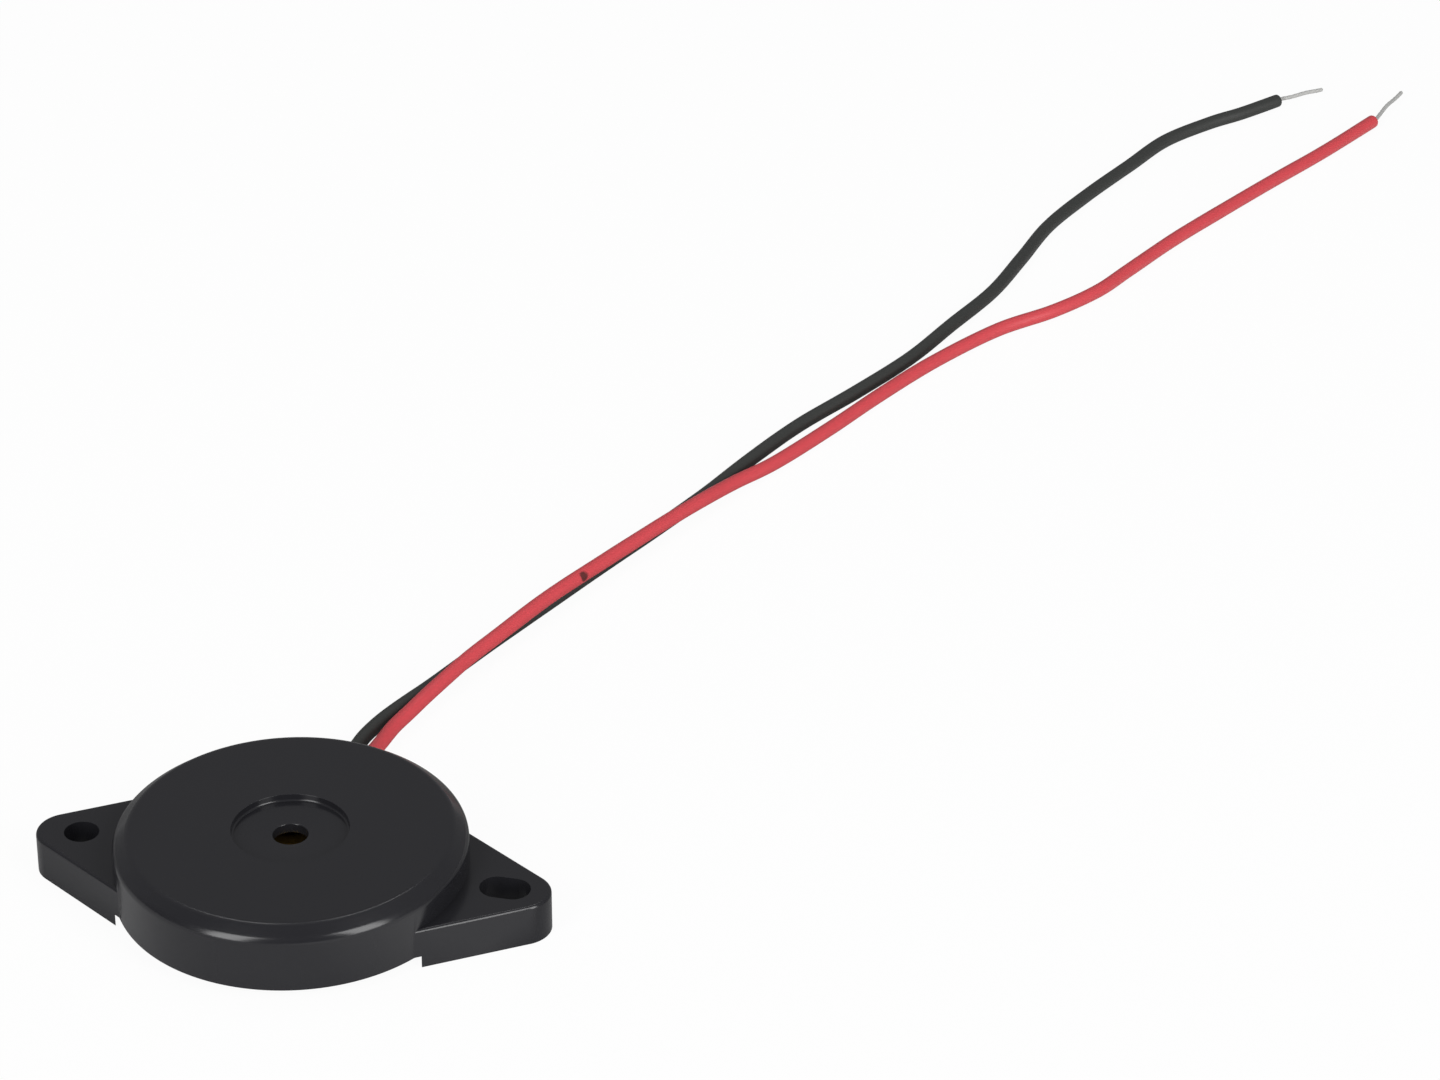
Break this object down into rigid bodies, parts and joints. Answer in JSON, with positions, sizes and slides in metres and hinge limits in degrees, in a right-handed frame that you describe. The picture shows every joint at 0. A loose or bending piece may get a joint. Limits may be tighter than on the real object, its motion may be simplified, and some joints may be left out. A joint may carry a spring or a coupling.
{
  "type": "piezo buzzer",
  "caption": "Low round black plastic piezo buzzer with a recessed sound hole, a screw ear on each side and a red and a black lead wire with bare tinned ends.",
  "frame": {"origin": "centre of the round body, on the plane of the ears' undersides, which is what the part is screwed down on", "axes": "+X along the ears from the round hole to the slot, +Y from the body's centre towards the leads' exit, +Z out of the sound hole"},
  "size_m": [0.0771, 0.1464, 0.0056],
  "materials": {
    "housing": "moulded thermoplastic, satin",
    "cover": "moulded thermoplastic, satin",
    "adhesive": "silicone adhesive, satin",
    "diaphragm": "rolled sheet, satin",
    "ceramic": "fired ceramic, matt",
    "silver": "printed and fired silver, matt",
    "sealant": "cured sealing compound, satin",
    "red_insulation": "extruded soft PVC, satin",
    "black_insulation": "extruded soft PVC, satin",
    "tinned_copper": "stranded copper dipped in solder",
    "solder": "solder, bright"
  },
  "bodies": {
    "root": {"housing": "housing", "back_cover": "cover", "bonding_bead": "adhesive", "diaphragm": "diaphragm", "piezo_ceramic": "ceramic", "silver_electrode": "silver", "lead_seal": "sealant", "red_lead": "red_insulation", "black_lead": "black_insulation", "red_tip": "tinned_copper", "black_tip": "tinned_copper", "red_inner_end": "tinned_copper", "black_inner_end": "tinned_copper", "red_solder": "solder", "black_solder": "solder"}
  },
  "joints": []
}
